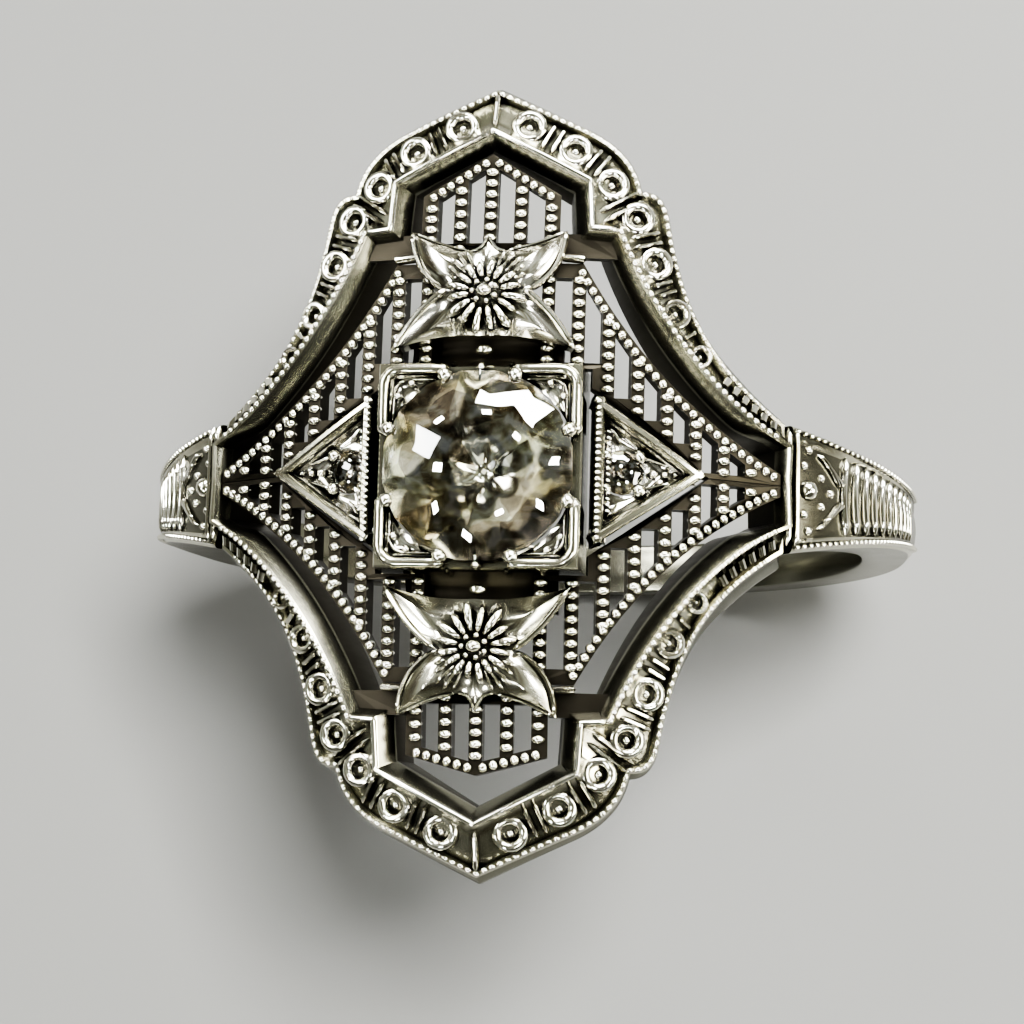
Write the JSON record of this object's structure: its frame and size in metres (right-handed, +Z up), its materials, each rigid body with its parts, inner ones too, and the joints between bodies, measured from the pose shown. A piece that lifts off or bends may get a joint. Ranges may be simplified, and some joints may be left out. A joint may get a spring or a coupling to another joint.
{
  "type": "filigree engagement ring",
  "caption": "Pierced filigree ring with a long shield-shaped face, a square head holding a round diamond, side diamonds, flowers and a tapered band.",
  "frame": {"origin": "centre of the finger bore", "axes": "+Y along the finger, towards the fingertip; +Z up from the bore's centre through the centre stone; +X to the right of the face"},
  "size_m": [0.0212, 0.02, 0.0229],
  "materials": {
    "white_gold": "polished white gold",
    "bright_cut_gold": "bright-cut and milgrained white gold",
    "oxidised_gold": "darkened white gold in recesses",
    "diamond": "faceted, clear"
  },
  "bodies": {
    "root": {"border_frame": "white_gold", "bridge_ne": "oxidised_gold", "bridge_nw": "oxidised_gold", "bridge_se": "oxidised_gold", "bridge_sw": "oxidised_gold", "center_diamond": "diamond", "collet_east": "white_gold", "collet_plate_east": "bright_cut_gold", "collet_plate_west": "bright_cut_gold", "collet_west": "white_gold", "corner_cap_ne": "bright_cut_gold", "corner_cap_nw": "bright_cut_gold", "corner_cap_se": "bright_cut_gold", "corner_cap_sw": "bright_cut_gold", "corner_prong_ne": "bright_cut_gold", "corner_prong_nw": "bright_cut_gold", "corner_prong_se": "bright_cut_gold", "corner_prong_sw": "bright_cut_gold", "flower_center_north": "bright_cut_gold", "flower_center_south": "bright_cut_gold", "flower_north": "bright_cut_gold", "flower_south": "bright_cut_gold", "grille_north": "bright_cut_gold", "grille_south": "bright_cut_gold", "head_box": "white_gold", "lattice_ne": "bright_cut_gold", "lattice_nw": "bright_cut_gold", "lattice_se": "bright_cut_gold", "lattice_sw": "bright_cut_gold", "leaf_plate_north": "bright_cut_gold", "leaf_plate_south": "bright_cut_gold", "shank": "white_gold", "shoulder_east": "white_gold", "shoulder_west": "white_gold", "side_diamond_east": "diamond", "side_diamond_west": "diamond", "stone_seat": "oxidised_gold"}
  },
  "joints": []
}
